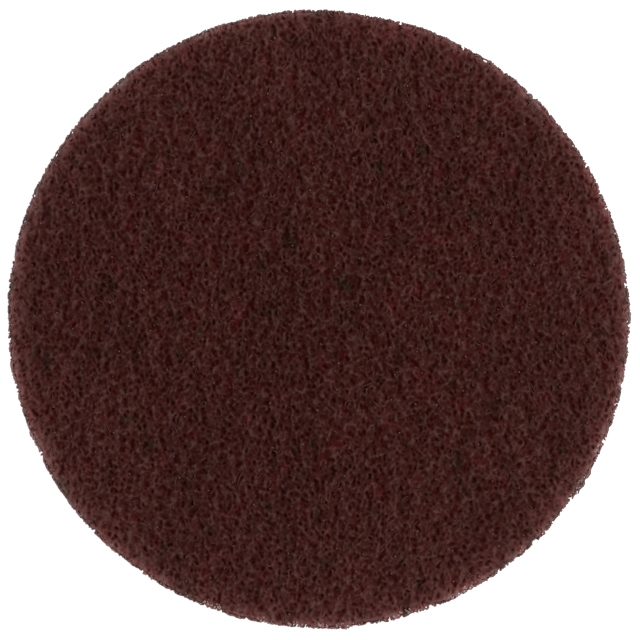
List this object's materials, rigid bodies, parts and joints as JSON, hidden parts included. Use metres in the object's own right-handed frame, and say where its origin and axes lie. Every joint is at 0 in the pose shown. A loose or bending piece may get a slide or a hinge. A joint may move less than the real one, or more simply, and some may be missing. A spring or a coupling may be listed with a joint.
{
  "type": "surface conditioning disc",
  "caption": "Plain round disc of maroon non-woven abrasive web with a flat back, for cleaning and blending metal on a sander.",
  "frame": {"origin": "centre of the flat back face", "axes": "+Z out of the working face, +Y up in the picture, along which more of the strands run, and +X to the picture's right"},
  "size_m": [0.1276, 0.127, 0.006],
  "materials": {
    "abrasive_web": "matte"
  },
  "bodies": {
    "root": {"conditioning_disc": "abrasive_web"}
  },
  "joints": []
}
